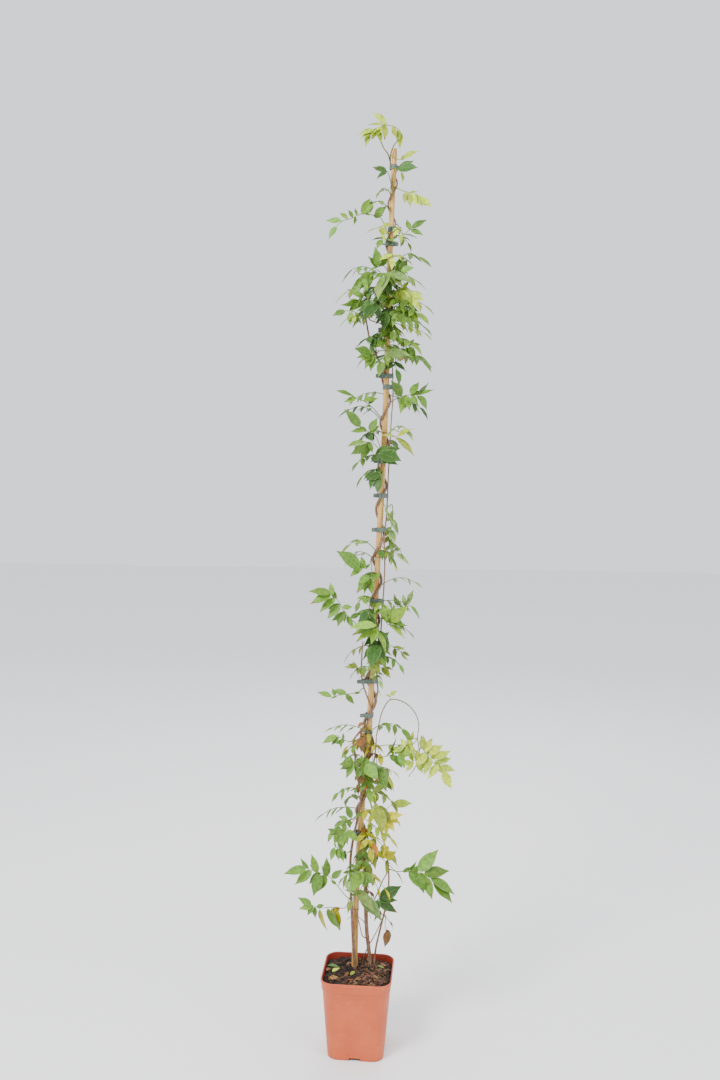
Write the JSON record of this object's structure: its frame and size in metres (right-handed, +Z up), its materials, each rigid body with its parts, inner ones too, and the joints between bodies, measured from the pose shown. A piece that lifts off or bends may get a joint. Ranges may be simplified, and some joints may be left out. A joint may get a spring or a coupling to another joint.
{
  "type": "potted climbing wisteria",
  "caption": "Tall climbing wisteria in a square terracotta-coloured nursery pot, its stems wound up and tied to a bamboo cane, with pinnate leaves all the way up.",
  "frame": {"origin": "middle of the pot's flat underside", "axes": "+Z up along the plant, -Y towards the side seen in the picture, +X to the right as seen from there"},
  "size_m": [0.4071, 0.2125, 2.2638],
  "materials": {
    "terracotta_plastic": "terracotta-coloured moulded plastic, satin",
    "potting_soil": "dark peat mix with bark chips, dull",
    "bamboo": "dry bamboo, satin",
    "bark": "thin brown bark, dull",
    "tie_tape": "grey-green plastic tape, satin",
    "leaf_lime": "young leaf, silky",
    "leaf_green": "leaf, silky",
    "leaf_dark": "old leaf, silky",
    "leaf_pale": "pale underside of a leaf, silky",
    "leaf_olive": "fading leaf, silky",
    "leaf_yellow": "yellowed leaf, dull",
    "leaf_brown": "dead leaf, dull"
  },
  "bodies": {
    "root": {"arching_shoot": "leaf_lime", "bamboo_cane": "bamboo", "leaf_dead_low": "leaf_brown", "leaf_dense_pale": "leaf_pale", "leaf_fifth_left": "leaf_green", "leaf_fourth_left": "leaf_olive", "leaf_hanging_pale": "leaf_pale", "leaf_left_of_tie": "leaf_green", "leaf_left_of_vine": "leaf_green", "leaf_low_right": "leaf_green", "leaf_low_right_dark": "leaf_dark", "leaf_ninth_yellow": "leaf_yellow", "leaf_right_of_tie": "leaf_green", "leaf_sixth_left": "leaf_green", "leaf_tenth_left": "leaf_green", "leaf_thin_right": "leaf_lime", "leaf_third_front_lime": "leaf_lime", "leaf_third_left_long": "leaf_green", "leaf_upper_lime": "leaf_lime", "leaf_upper_right": "leaf_green", "leaves_at_third_tie": "leaf_green", "leaves_at_top_tie": "leaf_dark", "leaves_below_upper_tie": "leaf_green", "leaves_dense_front": "leaf_dark", "leaves_dense_left": "leaf_green", "leaves_dense_right": "leaf_lime", "leaves_eighth_right": "leaf_olive", "leaves_fourth_front": "leaf_dark", "leaves_fourth_sides": "leaf_olive", "leaves_low_front": "leaf_green", "leaves_low_left": "leaf_green", "leaves_mid_front": "leaf_olive", "leaves_mid_right": "leaf_green", "leaves_ninth_left": "leaf_green", "leaves_second": "leaf_green", "leaves_seventh_front": "leaf_green", "leaves_seventh_right": "leaf_green", "leaves_tenth_yellow": "leaf_yellow", "leaves_third_left": "leaf_green", "leaves_third_right": "leaf_olive", "leaves_upper_left": "leaf_green", "pot": "terracotta_plastic", "soil": "potting_soil", "tie_01": "tie_tape", "tie_02": "tie_tape", "tie_03": "tie_tape", "tie_04": "tie_tape", "tie_05": "tie_tape", "tie_06": "tie_tape", "tie_07": "tie_tape", "tie_08": "tie_tape", "tie_09": "tie_tape", "tie_10": "tie_tape", "tie_11": "tie_tape", "tie_12": "tie_tape", "tie_13": "tie_tape", "tie_14": "tie_tape", "top_shoots": "leaf_lime", "vine_stems": "bark", "withered_leaves": "leaf_brown"}
  },
  "joints": []
}
